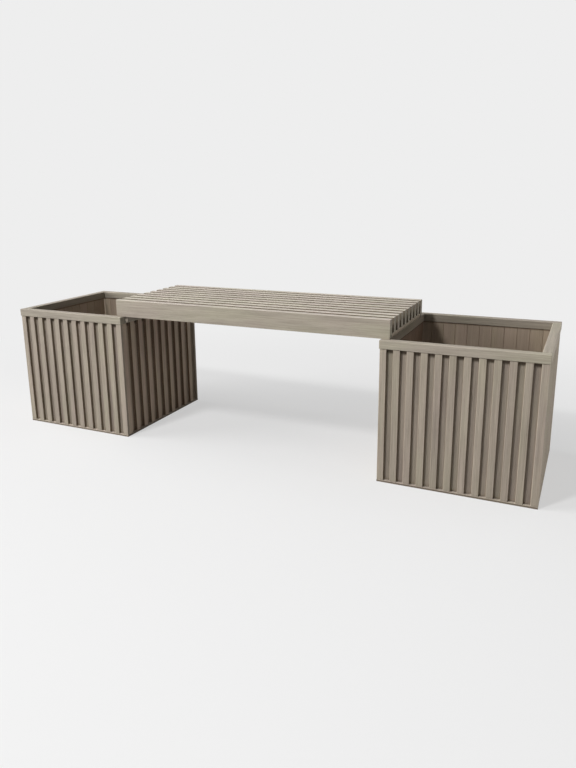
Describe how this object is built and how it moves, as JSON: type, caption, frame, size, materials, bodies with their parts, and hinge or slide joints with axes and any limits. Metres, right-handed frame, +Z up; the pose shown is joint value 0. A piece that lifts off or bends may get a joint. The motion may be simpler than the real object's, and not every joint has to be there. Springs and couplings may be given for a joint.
{
  "type": "planter bench",
  "caption": "Wooden garden bench: a slatted seat resting on the rims of two square board-and-batten planter boxes.",
  "frame": {"origin": "on the ground, in the middle of the bench's length and of the planters' depth", "axes": "+Z up, +X along the bench to the right as seen from the front, +Y towards the back"},
  "size_m": [1.696, 0.438, 0.4553],
  "materials": {
    "seat_wood": "weathered, bare",
    "rim_wood": "weathered, bare",
    "wall_wood": "weathered, bare",
    "inner_wood": "rough sawn, darker",
    "screw_steel": "stainless, dull"
  },
  "bodies": {
    "root": {"left_rim_front": "rim_wood", "left_wall_front": "wall_wood", "left_base_front": "wall_wood", "left_rim_back": "rim_wood", "left_wall_back": "wall_wood", "left_base_back": "wall_wood", "left_rim_left": "rim_wood", "left_wall_left": "wall_wood", "left_base_left": "wall_wood", "left_rim_right": "rim_wood", "left_wall_right": "wall_wood", "left_base_right": "wall_wood", "left_bearer_front": "inner_wood", "left_bearer_back": "inner_wood", "left_floor_board_1": "inner_wood", "left_floor_board_2": "inner_wood", "left_floor_board_3": "inner_wood", "left_floor_board_4": "inner_wood", "left_floor_board_5": "inner_wood", "right_rim_front": "rim_wood", "right_wall_front": "wall_wood", "right_base_front": "wall_wood", "right_rim_back": "rim_wood", "right_wall_back": "wall_wood", "right_base_back": "wall_wood", "right_rim_left": "rim_wood", "right_wall_left": "wall_wood", "right_base_left": "wall_wood", "right_rim_right": "rim_wood", "right_wall_right": "wall_wood", "right_base_right": "wall_wood", "right_bearer_front": "inner_wood", "right_bearer_back": "inner_wood", "right_floor_board_1": "inner_wood", "right_floor_board_2": "inner_wood", "right_floor_board_3": "inner_wood", "right_floor_board_4": "inner_wood", "right_floor_board_5": "inner_wood", "seat_slat_01": "seat_wood", "seat_slat_02": "seat_wood", "seat_slat_03": "seat_wood", "seat_slat_04": "seat_wood", "seat_slat_05": "seat_wood", "seat_slat_06": "seat_wood", "seat_slat_07": "seat_wood", "seat_slat_08": "seat_wood", "seat_slat_09": "seat_wood", "seat_slat_10": "seat_wood", "seat_rail_left": "seat_wood", "seat_rail_middle": "seat_wood", "seat_rail_right": "seat_wood", "seat_stop_cleat": "seat_wood", "seat_screw_left_front": "screw_steel", "seat_screw_left_back": "screw_steel", "seat_screw_right_front": "screw_steel", "seat_screw_right_back": "screw_steel"}
  },
  "joints": []
}
